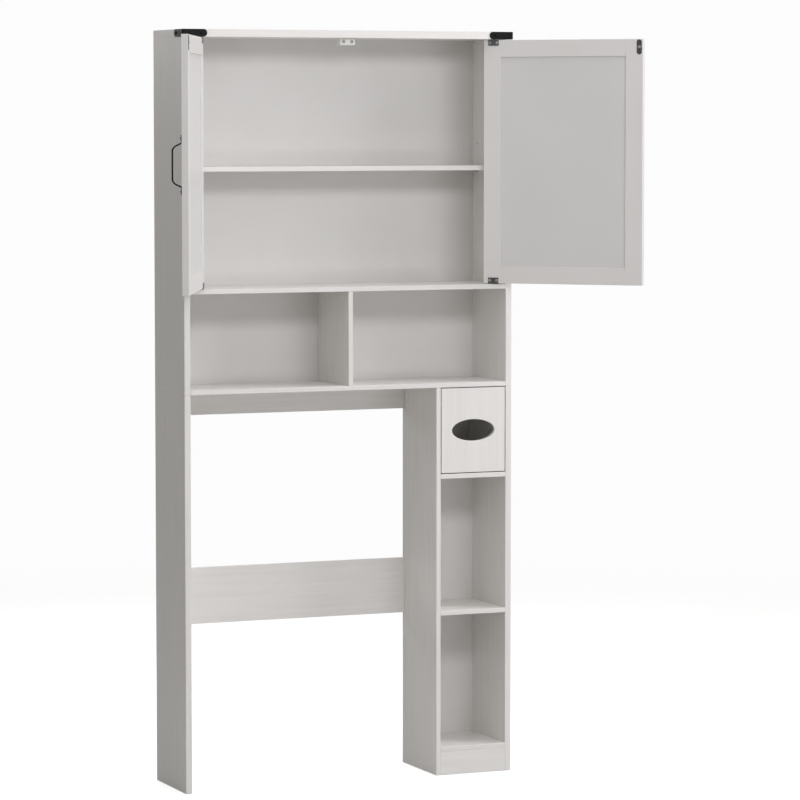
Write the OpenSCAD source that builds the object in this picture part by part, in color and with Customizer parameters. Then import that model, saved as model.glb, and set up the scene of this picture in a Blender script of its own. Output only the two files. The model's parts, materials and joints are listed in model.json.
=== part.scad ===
// Over-the-toilet storage rack in white melamine-faced board, in two stacked units.
// The lower unit is a tall bridge over the toilet with a narrow column of cubbies and a
// pull-out paper box on the right. The upper unit has two open compartments and, above
// them, a cabinet with two framed doors on pivot hinges and one adjustable shelf.
// Sizes are in millimetres. X runs to the right, Z up, the wall is the plane Y = 0 and
// the front is Y = -rack_d. The origin is the left leg's rear outer corner on the floor.
// Both doors are drawn open, as they stand in use; the paper box is drawn shut.

/* [Overall] */
// Width over both side boards
rack_w = 805; // [670:1:970]
// Depth from the wall to the faces of the closed doors
rack_d = 200; // [165:1:260]
// Height from the floor to the top of the top board
rack_h = 1720; // [1430:1:2070]

/* [Boards] */
// Thickness of the legs and the upper sides
side_t = 14.5; // [12:0.5:20]
// Thickness of the shelves, rails and inner uprights
board_t = 11; // [9:0.5:18]
// Thickness of the top board
top_t = 17; // [12:0.5:25]
// Thickness of the back boards
back_t = 3; // [2.5:0.5:5]
// Distance from the wall plane to the back boards
back_inset = 9; // [8:0.5:15]
// Depth of the grooves that hold the back boards
groove_d = 3.5; // [2:0.5:4]

/* [Lower unit] */
// Clear width of the cubby column
column_clear = 164; // [130:1:200]
// Height of the plinth board
plinth_h = 55; // [40:1:80]
// Clear height of each of the two cubbies
cubby_h = 307; // [240:1:370]
// Clear height of the bay that holds the paper box
bay_h = 200; // [170:1:240]
// Height of the rail under the upper unit
upper_rail_h = 60; // [40:1:90]
// Height of the cross rail behind the toilet
lower_rail_h = 130; // [80:1:160]
// Height of the cross rail's lower edge above the floor
lower_rail_z = 359; // [280:1:440]

/* [Upper unit] */
// Clear height of the two open compartments
compartment_h = 215; // [170:1:260]
// Thickness of the upright between the compartments
divider_t = 11; // [9:0.5:18]
// How far the adjustable shelf's pins sit below the cabinet's middle
shelf_drop = 22; // [0:1:60]
// How far the adjustable shelf stands back from the front
shelf_recess = 36; // [34:1:60]
// Height between two rows of pin holes
pin_pitch = 64; // [32:1:80]
// Distance of the front pin holes from the side board's front edge
pin_front = 50; // [45:1:60]
// Distance of the rear pin holes from the side board's rear edge
pin_rear = 38; // [30:1:50]
// Diameter of the pin holes
pin_hole_d = 5; // [4:0.5:7]
// Depth of the pin holes
pin_hole_depth = 8; // [6:0.5:10]

/* [Doors] */
// Thickness of a door's frame
door_t = 15; // [13:0.5:20]
// Width of a door's stiles
stile_w = 41; // [38:1:60]
// Height of a door's rails
door_rail_h = 39; // [30:1:60]
// Thickness of a door's panel
panel_t = 5; // [3:0.5:6]
// How far the panel lies below the frame's inner face
panel_recess = 4; // [2:0.5:6]
// Gap between a door's hinge edge and the side board
hinge_gap = 2; // [1.5:0.5:4]
// Gap between the two closed doors
meeting_gap = 3; // [2:0.5:5]
// Gap over and under a door
head_gap = 2; // [1.5:0.5:4]
// Distance from a door's hinge edge to its pivot
pivot_inset = 24; // [20:1:28]
// Diameter of the pivot pins
pivot_d = 5; // [4:0.5:6]
// Angle at which the left door stands open
left_open = 114.8; // [0:0.1:140]
// Angle at which the right door stands open
right_open = 135.4; // [0:0.1:140]

/* [Handles] */
// Length of a handle over its two feet
handle_l = 130; // [100:1:160]
// Length of each flat foot
handle_foot = 16; // [14:1:24]
// Height of the grip's outer face above the door
handle_rise = 23; // [18:1:35]
// Thickness of the handle's strip
handle_t = 3; // [2:0.5:5]
// Width of the handle's strip
handle_w = 10; // [8:1:16]
// Distance from the door's free edge to the handle's middle
handle_inset = 20; // [15:1:25]

/* [Hardware] */
// Thickness of the corner straps
strap_t = 2; // [1.5:0.5:4]
// Length of a strap's front leg
strap_front = 57; // [45:1:80]
// Length of a strap's side leg
strap_side = 55; // [45:1:80]
// Width of a hinge plate along the door
plate_w = 25; // [22:1:30]
// Height of a hinge plate on the door's inner face
plate_h = 13; // [11:1:20]
// Thickness of a hinge plate
plate_t = 1.5; // [1:0.1:1.7]
// Width of a strike plate
strike_w = 12; // [9:1:16]
// Height of a strike plate
strike_h = 34; // [24:1:45]
// Width of the magnetic catch
catch_w = 36; // [32:1:50]
// Height of the magnetic catch
catch_h = 16; // [10:1:16]
// Diameter of the hole for the wall screw
wall_screw_d = 5.2; // [4:0.1:6]

/* [Paper box] */
// Gap around the paper box's front
box_gap = 2; // [1.5:0.5:4]
// Thickness of the paper box's walls
box_wall = 9; // [8:0.5:12]
// Height of the paper box's side walls
box_wall_h = 150; // [90:1:155]
// Width of the oval opening
oval_w = 107; // [70:1:115]
// Height of the oval opening
oval_h = 50; // [35:1:70]
// Height of the runners' section
runner_h = 12; // [10:1:16]

/* [Hidden] */

$fn = 48;

// Colours
melamine = [0.93, 0.92, 0.90];
panel_grey = [0.84, 0.84, 0.83];
hardboard = [0.90, 0.90, 0.88];
beech = [0.80, 0.66, 0.46];
black_steel = [0.12, 0.12, 0.12];
zinc = [0.72, 0.73, 0.74];
white_nylon = [0.95, 0.95, 0.94];
ferrite = [0.25, 0.25, 0.26];

// Clearances
loose = 0.1;        // a piece that is glued, knocked or pressed home, across its width
pivot_play = 0.1;   // a pivot pin in its bush, across the diameter
shelf_play = 1;     // the loose shelf at each end and behind
runner_play = 0.5;  // a runner in its groove, on each side

// Heights of the boards, from the floor up
bottom_z = plinth_h;
shelf_z = bottom_z + board_t + cubby_h;
box_floor_z = shelf_z + board_t + cubby_h;
bay_z = box_floor_z + board_t;
deck_z = bay_z + bay_h;
compartment_z = deck_z + board_t;
cabinet_floor_z = compartment_z + compartment_h;
cabinet_z = cabinet_floor_z + board_t;
top_z = rack_h - top_t;
cabinet_h = top_z - cabinet_z;

// Faces of the uprights, from left to right
left_in = side_t;
right_in = rack_w - side_t;
column_left = right_in - column_clear;
partition_left = column_left - board_t;
divider_x = rack_w / 2;

// Depths
front_y = -rack_d;
back_front_y = -back_inset - back_t;

// Cam joints and dowels at a board's end
thread_d = 5;                   // the cam bolt's thread in the upright
bite = 7;                       // how deep a bolt or dowel enters a board's face
cam_back = 24;                  // from the board's end to the cam's middle
cam_d = 15;                     // the cam's housing
cam_h = board_t - 2;            // the housing's depth
bolt_d = 6;                     // the cam bolt's shaft
dowel_d = 6;
dowel_l = 29;
cam_edge = 35;                  // from a board's front or rear edge to the cam
cam_front_y = front_y + cam_edge;
cam_rear_y = back_front_y - cam_edge;
mid_y = (front_y + back_front_y) / 2;
rail_y = -board_t / 2;
rail_dowel_edge = 15;           // from a rail's edge to its dowel

// Small screws
screw_d = 3;
screw_head_d = 6;
screw_head_h = 1.5;
screw_l = 10;

// Doors, closed
door_x = left_in + hinge_gap;
door_w = (right_in - left_in - 2 * hinge_gap - meeting_gap) / 2;
door_z = cabinet_z + head_gap;
door_h = cabinet_h - 2 * head_gap;
tongue = 6;                     // how far panel and rails enter the frame's grooves
panel_y = door_t - panel_recess - panel_t;
pivot_y = door_t / 2;
bush_d = 8;
bush_cover = 1;                 // wood left between the upper bush and the strap's screw
bush_floor = 3;                 // wood left under the lower bush
bush_l = min(top_t / 2 - screw_d / 2 - bush_cover, board_t - bush_floor);
pin_end_gap = 1;                // from a pin's end to the bottom of its bush
tab_t = 1.2;                    // the hinge plate's tab in the gap over the door
plate_screw_x = 8.5;            // the plate's screws on each side of the pivot
plate_screw_edge = 2.4;         // from the groove to the screw beside it, at the least
plate_screw_xs = [pivot_inset - plate_screw_x,
                  min(pivot_inset + plate_screw_x,
                      stile_w - tongue - loose - plate_screw_edge)];
strike_t = 1.2;
strike_x = door_w - 8.5;
strike_top_gap = 1;

// Adjustable shelf
pin_row_z = cabinet_z + cabinet_h / 2 - shelf_drop;
pin_rows = [-1, 0, 1];
pin_ys = [front_y + pin_front, -pin_rear];
pin_d = pin_hole_d - loose;
pin_out = 9;

// Paper box
box_front_w = column_clear - 2 * box_gap;
box_side_gap = 6;               // from the upright to the box's side
box_floor_gap = 4;              // from the bay's floor to the side walls
box_back_gap = 2;               // from the box to the column's back
box_x0 = column_left + box_side_gap;
box_x1 = right_in - box_side_gap;
box_wall_z = bay_z + box_floor_gap;
box_bottom_z = box_wall_z + 6;
box_bottom_t = 3;
runner_bite = 4;                // how far a runner enters the side's groove
runner_z = box_wall_z + 60;
box_back_y = back_front_y - box_back_gap;
box_wall_y = front_y + board_t;

// ---------------------------------------------------------------- building blocks

// A board between two opposite corners
module block(low, high) {
    translate(low) cube(high - low);
}

// A cylinder along X that starts at the origin
module rod_x(d, l) {
    rotate([0, 90, 0]) cylinder(d = d, h = l);
}

// A screw whose head's underside is at the origin and whose shank runs down
module screw(shank_l = screw_l) {
    translate([0, 0, -shank_l]) cylinder(d = screw_d, h = shank_l);
    difference() {
        cylinder(d1 = screw_head_d, d2 = screw_head_d - 1.6, h = screw_head_h);
        for (a = [0, 90])
            rotate([0, 0, a]) translate([-1.7, -0.4, screw_head_h - 0.8]) cube([3.4, 0.8, 1]);
    }
}

module screw_hole(shank_l = screw_l) {
    translate([0, 0, -shank_l - loose]) cylinder(d = screw_d + loose, h = shank_l + 1);
}

// Joints at the ends of boards: [x, y, z, turn, mouth]. The board runs from the upright's
// face at x towards +X (turn 0) or -X (turn 180); its cam opens "down" or "back".
function level_joints(x0, x1, z, ys) =
    [for (y = ys, e = [[x0, 0], [x1, 180]]) [e[0], y, z, e[1], "down"]];
function upright_joints(x0, x1, y, zs) =
    [for (z = zs, e = [[x0, 0], [x1, 180]]) [e[0], y, z, e[1], "back"]];

cam_ys = [cam_front_y, cam_rear_y];
bottom_cams = level_joints(column_left, right_in, bottom_z + board_t / 2, cam_ys);
shelf_cams = level_joints(column_left, right_in, shelf_z + board_t / 2, cam_ys);
box_floor_cams = level_joints(column_left, right_in, box_floor_z + board_t / 2, cam_ys);
deck_cams = level_joints(left_in, right_in, deck_z + board_t / 2, cam_ys);
cabinet_floor_cams = level_joints(left_in, right_in, cabinet_floor_z + board_t / 2, cam_ys);
plinth_cams = upright_joints(column_left, right_in, front_y + board_t / 2, [plinth_h * 0.3]);
upper_rail_cams = upright_joints(left_in, partition_left, rail_y, [deck_z - upper_rail_h / 2]);
lower_rail_cams =
    upright_joints(left_in, partition_left, rail_y, [lower_rail_z + lower_rail_h / 2]);
lower_cams = concat(bottom_cams, shelf_cams, box_floor_cams, plinth_cams, upper_rail_cams,
                    lower_rail_cams);
upper_cams = concat(deck_cams, cabinet_floor_cams);

bottom_dowels = level_joints(column_left, right_in, bottom_z + board_t / 2, [mid_y]);
shelf_dowels = level_joints(column_left, right_in, shelf_z + board_t / 2, [mid_y]);
box_floor_dowels = level_joints(column_left, right_in, box_floor_z + board_t / 2, [mid_y]);
deck_dowels = level_joints(left_in, right_in, deck_z + board_t / 2, [mid_y]);
cabinet_floor_dowels =
    level_joints(left_in, right_in, cabinet_floor_z + board_t / 2, [mid_y]);
plinth_dowels = upright_joints(column_left, right_in, front_y + board_t / 2, [plinth_h * 0.7]);
upper_rail_dowels = upright_joints(left_in, partition_left, rail_y,
    [deck_z - upper_rail_h + rail_dowel_edge, deck_z - rail_dowel_edge]);
lower_rail_dowels = upright_joints(left_in, partition_left, rail_y,
    [lower_rail_z + rail_dowel_edge, lower_rail_z + lower_rail_h - rail_dowel_edge]);
lower_dowels = concat(bottom_dowels, shelf_dowels, box_floor_dowels, plinth_dowels,
                      upper_rail_dowels, lower_rail_dowels);
upper_dowels = concat(deck_dowels, cabinet_floor_dowels);

module at_joint(j) {
    roll = j[4] == "down" ? 180 : (j[3] == 0 ? -90 : 90);
    translate([j[0], j[1], j[2]]) rotate([roll, 0, j[3]]) children();
}

// Cuts for a cam joint: the shaft's bore and the cam's housing in the board
module cam_cut_board() {
    translate([-1, 0, 0]) rod_x(bolt_d + 1, cam_back + 1);
    translate([cam_back, 0, board_t / 2 - cam_h]) cylinder(d = cam_d + loose, h = cam_h + 1);
}

module cam_cut_upright() {
    translate([-bite, 0, 0]) rod_x(thread_d + loose, bite + 1);
}

module dowel_cut() {
    translate([-bite, 0, 0]) rod_x(dowel_d + loose, dowel_l);
}

// All cuts that the joints make in the upright whose face is at x
module cuts_in_upright(x, cams, pegs) {
    for (j = cams) if (j[0] == x) at_joint(j) cam_cut_upright();
    for (j = pegs) if (j[0] == x) at_joint(j) dowel_cut();
}

// All cuts that the joints make in the board itself
module cuts_in_board(cams, pegs) {
    for (j = cams) at_joint(j) cam_cut_board();
    for (j = pegs) at_joint(j) dowel_cut();
}

// Standing dowels: [x, y, z of the joint, length below it, length above it]
peg_shift = 20;                 // from a cam's line to the standing dowel beside it
peg_ys = [cam_front_y + peg_shift, cam_rear_y - peg_shift];
long_bite = dowel_l - bite;
half_peg = dowel_l / 2;
seam_pegs = [for (x = [side_t / 2, rack_w - side_t / 2], y = peg_ys)
    [x, y, deck_z, half_peg, half_peg]];
top_pegs = [for (x = [side_t / 2, rack_w - side_t / 2], y = peg_ys)
    [x, y, top_z, long_bite, bite]];
partition_pegs = [for (y = peg_ys)
    [column_left - board_t / 2, y, deck_z, long_bite, bite]];
divider_low_pegs = [for (y = peg_ys) [divider_x, y, compartment_z, bite, long_bite]];
divider_high_pegs = [for (y = peg_ys) [divider_x, y, cabinet_floor_z, long_bite, bite]];

module standing_peg(p, d) {
    translate([p[0], p[1], p[2] - p[3]]) cylinder(d = d, h = p[3] + p[4]);
}

module peg_cuts(pegs) {
    for (p = pegs) standing_peg(p, dowel_d + loose);
}

// ---------------------------------------------------------------- lower unit

module left_leg() {
    color(melamine)
    difference() {
        block([0, front_y, 0], [side_t, 0, deck_z]);
        cuts_in_upright(left_in, lower_cams, lower_dowels);
        peg_cuts(seam_pegs);
    }
}

// The groove for a back board in an upright's face, opening at x over the given width
module back_groove(x, z0, z1) {
    block([x - groove_d, back_front_y - loose / 2, z0],
          [x + groove_d, -back_inset + loose / 2, z1]);
}

module column_partition() {
    color(melamine)
    difference() {
        block([partition_left, front_y, 0], [column_left, 0, deck_z]);
        back_groove(column_left, -1, deck_z + 1);
        cuts_in_upright(column_left, lower_cams, lower_dowels);
        cuts_in_upright(partition_left, lower_cams, lower_dowels);
        peg_cuts(partition_pegs);
        runner_screw_holes(column_left, 1);
    }
}

module right_leg() {
    color(melamine)
    difference() {
        block([right_in, front_y, 0], [rack_w, 0, deck_z]);
        back_groove(right_in, -1, deck_z + 1);
        cuts_in_upright(right_in, lower_cams, lower_dowels);
        peg_cuts(seam_pegs);
        runner_screw_holes(right_in, -1);
    }
}

module plinth() {
    color(melamine)
    difference() {
        block([column_left, front_y, 0], [right_in, front_y + board_t, plinth_h]);
        cuts_in_board(plinth_cams, plinth_dowels);
    }
}

// A shelf board of the column, with its underside at z
module column_board(z, cams, pegs) {
    color(melamine)
    difference() {
        block([column_left, front_y, z], [right_in, back_front_y, z + board_t]);
        cuts_in_board(cams, pegs);
    }
}

module column_bottom() { column_board(bottom_z, bottom_cams, bottom_dowels); }
module column_shelf() { column_board(shelf_z, shelf_cams, shelf_dowels); }
module paper_box_floor() { column_board(box_floor_z, box_floor_cams, box_floor_dowels); }

module column_back() {
    color(hardboard)
    block([column_left - groove_d, back_front_y, bottom_z],
          [right_in + groove_d, -back_inset, deck_z]);
}

// A rail across the toilet space, flush with the wall plane
module cross_rail(z, h, cams, pegs) {
    color(melamine)
    difference() {
        block([left_in, -board_t, z], [partition_left, 0, z + h]);
        cuts_in_board(cams, pegs);
    }
}

module upper_rail() {
    cross_rail(deck_z - upper_rail_h, upper_rail_h, upper_rail_cams, upper_rail_dowels);
}

module lower_rail() {
    cross_rail(lower_rail_z, lower_rail_h, lower_rail_cams, lower_rail_dowels);
}

// ---------------------------------------------------------------- upper unit

module pin_holes(x) {
    for (r = pin_rows, y = pin_ys)
        translate([x - pin_hole_depth, y, pin_row_z + r * pin_pitch])
            rod_x(pin_hole_d, 2 * pin_hole_depth);
}

module upper_side(x0, x_in) {
    difference() {
        block([x0, front_y, deck_z], [x0 + side_t, 0, top_z]);
        back_groove(x_in, deck_z - 1, top_z + 1);
        cuts_in_upright(x_in, upper_cams, upper_dowels);
        peg_cuts(seam_pegs);
        peg_cuts(top_pegs);
        pin_holes(x_in);
    }
}

module left_side() { color(melamine) upper_side(0, left_in); }
module right_side() { color(melamine) upper_side(right_in, right_in); }

module deck() {
    color(melamine)
    difference() {
        block([left_in, front_y, deck_z], [right_in, back_front_y, compartment_z]);
        cuts_in_board(deck_cams, deck_dowels);
        peg_cuts(partition_pegs);
        peg_cuts(divider_low_pegs);
    }
}

module compartment_divider() {
    color(melamine)
    difference() {
        block([divider_x - divider_t / 2, front_y, compartment_z],
              [divider_x + divider_t / 2, back_front_y, cabinet_floor_z]);
        peg_cuts(divider_low_pegs);
        peg_cuts(divider_high_pegs);
    }
}

// The four pivots in plan: one at each door
module at_pivots() {
    for (x = [door_x + pivot_inset, rack_w - door_x - pivot_inset])
        translate([x, front_y + pivot_y, 0]) children();
}

module cabinet_floor() {
    color(melamine)
    difference() {
        block([left_in, front_y, cabinet_floor_z], [right_in, back_front_y, cabinet_z]);
        cuts_in_board(cabinet_floor_cams, cabinet_floor_dowels);
        peg_cuts(divider_high_pegs);
        at_pivots() translate([0, 0, cabinet_z - bush_l])
            cylinder(d = bush_d + loose, h = bush_l + 1);
    }
}

module top_board() {
    color(melamine)
    difference() {
        block([0, front_y, top_z], [rack_w, 0, rack_h]);
        block([left_in - groove_d, back_front_y - loose / 2, top_z - 1],
              [right_in + groove_d, -back_inset + loose / 2, top_z + groove_d]);
        peg_cuts(top_pegs);
        at_pivots() translate([0, 0, top_z - 1]) cylinder(d = bush_d + loose, h = bush_l + 1);
        for_each_strap_screw() screw_hole(strap_screw_l);
        catch_screws_at() screw_hole();
        bracket_screw_at() screw_hole();
    }
}

module upper_back() {
    color(hardboard)
    difference() {
        block([left_in - groove_d, back_front_y, deck_z],
              [right_in + groove_d, -back_inset, top_z + groove_d - loose]);
        wall_screw_hole();
    }
}

module adjustable_shelf() {
    color(melamine)
    block([left_in + shelf_play, front_y + shelf_recess, pin_row_z + pin_d / 2],
          [right_in - shelf_play, back_front_y - shelf_play,
           pin_row_z + pin_d / 2 + board_t]);
}

// Four plain pins with a collar against the side board
collar_d = 8;
collar_t = 1.5;
module shelf_pins() {
    color(zinc)
    for (y = pin_ys, s = [[left_in, 0], [right_in, 180]])
        translate([s[0], y, pin_row_z]) rotate([0, 0, s[1]]) {
            translate([-pin_hole_depth, 0, 0]) rod_x(pin_d, pin_hole_depth + pin_out);
            // the collar's top is cut level so that the shelf lies on the pin
            intersection() {
                rod_x(collar_d, collar_t);
                block([0, -collar_d, -collar_d], [collar_t, collar_d, pin_d / 2 - loose]);
            }
        }
}

// ---------------------------------------------------------------- fittings of the frame

module cam_bolts() {
    color(zinc)
    for (j = concat(lower_cams, upper_cams)) at_joint(j) {
        translate([-bite, 0, 0]) rod_x(thread_d, bite);
        rod_x(bolt_d - loose, cam_back - 2);
    }
}

module cam_locks() {
    color(zinc)
    for (j = concat(lower_cams, upper_cams)) at_joint(j)
        translate([cam_back, 0, 0]) difference() {
            translate([0, 0, board_t / 2 - cam_h]) cylinder(d = cam_d - loose, h = cam_h - loose);
            translate([-cam_d, 0, 0]) rod_x(bolt_d + 0.4, cam_d);
            for (a = [0, 90]) rotate([0, 0, a])
                translate([-4.5, -0.8, board_t / 2 - 1.5]) cube([9, 1.6, 2]);
        }
}

module dowels() {
    color(beech) {
        for (j = concat(lower_dowels, upper_dowels)) at_joint(j)
            translate([-bite, 0, 0]) rod_x(dowel_d, dowel_l);
        for (p = concat(seam_pegs, top_pegs, partition_pegs, divider_low_pegs,
                        divider_high_pegs))
            standing_peg(p, dowel_d);
    }
}

// Corner straps: an L of black strip round each top corner, as wide as the board is thick
strap_screw_back = 14;          // from a leg's round end to its screw
strap_screw_l = 16;

module strap_leg(l, leg_w) {
    linear_extrude(strap_t) difference() {
        union() {
            translate([0, -leg_w / 2]) square([l - leg_w / 2, leg_w]);
            translate([l - leg_w / 2, 0]) circle(d = leg_w);
        }
        translate([l - strap_screw_back, 0]) circle(d = screw_d + 0.4);
    }
}

module on_strap_front() {
    translate([0, front_y, top_z + top_t / 2]) rotate([90, 0, 0]) children();
}

module on_strap_side() {
    translate([0, front_y, top_z + top_t / 2]) rotate([90, 0, -90]) mirror([1, 0, 0])
        children();
}

module corner_strap() {
    on_strap_front() strap_leg(strap_front, top_t);
    on_strap_side() strap_leg(strap_side, top_t);
    block([-strap_t, front_y - strap_t, top_z], [0, front_y, rack_h]);
}

module to_right() {
    translate([rack_w, 0, 0]) mirror([1, 0, 0]) children();
}

module for_each_strap_screw() {
    on_strap_front() translate([strap_front - strap_screw_back, 0, strap_t]) children();
    on_strap_side() translate([strap_side - strap_screw_back, 0, strap_t]) children();
    to_right() {
        on_strap_front() translate([strap_front - strap_screw_back, 0, strap_t]) children();
        on_strap_side() translate([strap_side - strap_screw_back, 0, strap_t]) children();
    }
}

module left_corner_strap() { color(black_steel) corner_strap(); }
module right_corner_strap() { color(black_steel) to_right() corner_strap(); }
module strap_screws() { color(black_steel) for_each_strap_screw() screw(strap_screw_l); }

// Magnetic catch under the top board, behind the meeting edges of the doors
catch_gap = 0.3;                // from the closed strike plates to the magnets
catch_d = 28;
magnet_d = 8;
magnet_l = 12;
magnet_out = 0.4;
magnet_x = meeting_gap / 2 + door_w - strike_x;
magnet_y = front_y + door_t + strike_t + catch_gap;
catch_y = magnet_y + magnet_out;
catch_screw_x = catch_w / 2 - 6;
catch_seat = 6;                 // from the top board down to the screw heads' seats

module catch_screws_at() {
    for (s = [-1, 1])
        translate([divider_x + s * catch_screw_x, catch_y + catch_d - 7, top_z - catch_seat])
            rotate([180, 0, 0]) children();
}

module catch_body() {
    color(white_nylon)
    difference() {
        block([divider_x - catch_w / 2, catch_y, top_z - catch_h],
              [divider_x + catch_w / 2, catch_y + catch_d, top_z]);
        for (s = [-1, 1]) {
            translate([divider_x + s * magnet_x, catch_y - 1, top_z - catch_h / 2])
                rotate([-90, 0, 0]) cylinder(d = magnet_d + loose, h = magnet_l - magnet_out + 1);
        }
        catch_screws_at() {
            screw_hole();
            cylinder(d = screw_head_d + 0.6, h = catch_h);
        }
    }
}

module catch_magnets() {
    color(ferrite)
    for (s = [-1, 1])
        translate([divider_x + s * magnet_x, magnet_y, top_z - catch_h / 2])
            rotate([-90, 0, 0]) cylinder(d = magnet_d, h = magnet_l);
}

// Wall bracket: a small L inside the cabinet's top left corner, screwed up into the top
// board; the wall screw goes through it and the back board
bracket_x = 60;
bracket_w = 18;
bracket_leg = 26;
bracket_drop = 34;
bracket_t = 1.5;
wall_screw_drop = 22;

module wall_screw_hole() {
    translate([bracket_x, 1, top_z - wall_screw_drop]) rotate([90, 0, 0])
        cylinder(d = wall_screw_d, h = back_inset + back_t + bracket_t + 2);
}

module bracket_screw_at() {
    translate([bracket_x, back_front_y - bracket_leg + 8, top_z - bracket_t])
        rotate([180, 0, 0]) children();
}

module wall_bracket() {
    color(zinc)
    difference() {
        union() {
            block([bracket_x - bracket_w / 2, back_front_y - bracket_t, top_z - bracket_drop],
                  [bracket_x + bracket_w / 2, back_front_y, top_z]);
            block([bracket_x - bracket_w / 2, back_front_y - bracket_leg, top_z - bracket_t],
                  [bracket_x + bracket_w / 2, back_front_y, top_z]);
        }
        wall_screw_hole();
        bracket_screw_at() translate([0, 0, -3]) cylinder(d = screw_d + 0.4, h = 5);
    }
}

// Bushes that the doors' pivot pins turn in
module bush() {
    difference() {
        cylinder(d = bush_d, h = bush_l);
        translate([0, 0, -1]) cylinder(d = pivot_d + pivot_play, h = bush_l + 2);
    }
}

module pivot_bushes() {
    color(white_nylon)
    at_pivots() {
        translate([0, 0, top_z]) bush();
        translate([0, 0, cabinet_z - bush_l]) bush();
    }
}

// Runners for the paper box, one on each upright of the bay
runner_w = box_side_gap + runner_bite;
runner_front_gap = 6;
runner_y0 = box_wall_y + runner_front_gap;
runner_screw_ys = [runner_y0 + 25, back_front_y - 25];
runner_screw_l = 7;
runner_seat = 3;                // how much of the runner is left under the screw's head

module runner_screws_at(x, side) {
    for (y = runner_screw_ys)
        translate([x + side * runner_seat, y, runner_z]) rotate([0, side * 90, 0]) children();
}

module runner_screw_holes(x, side) {
    runner_screws_at(x, side) screw_hole(runner_screw_l + runner_seat);
}

module runner(x, side) {
    difference() {
        block([min(x, x + side * runner_w), runner_y0, runner_z - runner_h / 2],
              [max(x, x + side * runner_w), back_front_y, runner_z + runner_h / 2]);
        runner_screws_at(x, side) {
            screw_hole(runner_screw_l + runner_seat);
            cylinder(d = screw_head_d + 0.6, h = runner_w);
        }
    }
}

module paper_box_runners() {
    color(white_nylon) {
        runner(column_left, 1);
        runner(right_in, -1);
    }
}

module cabinet_screws() {
    color(zinc) {
        catch_screws_at() screw();
        bracket_screw_at() screw();
        runner_screws_at(column_left, 1) screw(runner_screw_l + runner_seat);
        runner_screws_at(right_in, -1) screw(runner_screw_l + runner_seat);
    }
}

// ---------------------------------------------------------------- paper box

// The oval is a many-sided outline, because its rim is only looked through
oval_steps = 72;
module oval_outline() {
    polygon([for (i = [0 : oval_steps - 1])
        [oval_w / 2 * cos(i * 360 / oval_steps), oval_h / 2 * sin(i * 360 / oval_steps)]]);
}

module paper_box_front() {
    color(melamine)
    difference() {
        block([column_left + box_gap, front_y, bay_z + box_gap],
              [right_in - box_gap, box_wall_y, deck_z - box_gap]);
        translate([(column_left + right_in) / 2, box_wall_y + 1, bay_z + bay_h / 2])
            rotate([90, 0, 0]) linear_extrude(board_t + 2) oval_outline();
        block([box_x0 + box_wall - groove_d, box_wall_y - groove_d, box_bottom_z - loose / 2],
              [box_x1 - box_wall + groove_d, box_wall_y + 1,
               box_bottom_z + box_bottom_t + loose / 2]);
    }
}

// A side wall from its outer face at x inwards, with the runner's groove outside and the
// bottom's groove inside
module box_side(x, side) {
    x_in = x + side * box_wall;
    difference() {
        block([min(x, x_in), box_wall_y, box_wall_z],
              [max(x, x_in), box_back_y, box_wall_z + box_wall_h]);
        block([x - runner_bite - runner_play, box_wall_y - 1,
               runner_z - runner_h / 2 - runner_play],
              [x + runner_bite + runner_play, box_back_y + 1,
               runner_z + runner_h / 2 + runner_play]);
        block([x_in - groove_d, box_wall_y - 1, box_bottom_z - loose / 2],
              [x_in + groove_d, box_back_y + 1, box_bottom_z + box_bottom_t + loose / 2]);
    }
}

module paper_box_left_side() { color(melamine) box_side(box_x0, 1); }
module paper_box_right_side() { color(melamine) box_side(box_x1, -1); }

module paper_box_back() {
    color(melamine)
    block([box_x0 + box_wall, box_back_y - box_wall, box_bottom_z + box_bottom_t + loose / 2],
          [box_x1 - box_wall, box_back_y, box_wall_z + box_wall_h]);
}

module paper_box_bottom() {
    color(hardboard)
    block([box_x0 + box_wall - groove_d + loose, box_wall_y - groove_d + loose, box_bottom_z],
          [box_x1 - box_wall + groove_d - loose, box_back_y, box_bottom_z + box_bottom_t]);
}

// ---------------------------------------------------------------- doors
// A door is drawn in its own frame: x from its hinge edge, y from its outer face inwards
// and z from the floor. The right door is the left one mirrored.

module swung(angle) {
    translate([door_x + pivot_inset, front_y + pivot_y, 0]) rotate([0, 0, -angle])
        translate([-pivot_inset, -pivot_y, 0]) children();
}

module on_left_door() { swung(left_open) children(); }
module on_right_door() { to_right() swung(right_open) children(); }

// The groove all round the inside of a frame for the panel's edge
groove_w = panel_t + loose;
groove_y = panel_y - loose / 2;

module hinge_stile() {
    difference() {
        block([0, 0, door_z], [stile_w, door_t, door_z + door_h]);
        block([stile_w - tongue - loose, groove_y, door_z - 1],
              [stile_w + 1, groove_y + groove_w, door_z + door_h + 1]);
        plate_screws_at() screw_hole();
    }
}

module meeting_stile() {
    difference() {
        block([door_w - stile_w, 0, door_z], [door_w, door_t, door_z + door_h]);
        block([door_w - stile_w - 1, groove_y, door_z - 1],
              [door_w - stile_w + tongue + loose, groove_y + groove_w, door_z + door_h + 1]);
        strike_screw_at() screw_hole();
        handle_screws_at() screw_hole();
    }
}

// A rail between the stiles, with a tongue at each end in the stiles' grooves
module door_rail(z, groove_z) {
    difference() {
        union() {
            block([stile_w, 0, z], [door_w - stile_w, door_t, z + door_rail_h]);
            block([stile_w - tongue, panel_y, z],
                  [door_w - stile_w + tongue, panel_y + panel_t, z + door_rail_h]);
        }
        block([stile_w - tongue - 1, groove_y, groove_z],
              [door_w - stile_w + tongue + 1, groove_y + groove_w, groove_z + tongue + 1]);
    }
}

module top_rail() {
    door_rail(door_z + door_h - door_rail_h, door_z + door_h - door_rail_h - 1);
}

module bottom_rail() {
    door_rail(door_z, door_z + door_rail_h - tongue);
}

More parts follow.
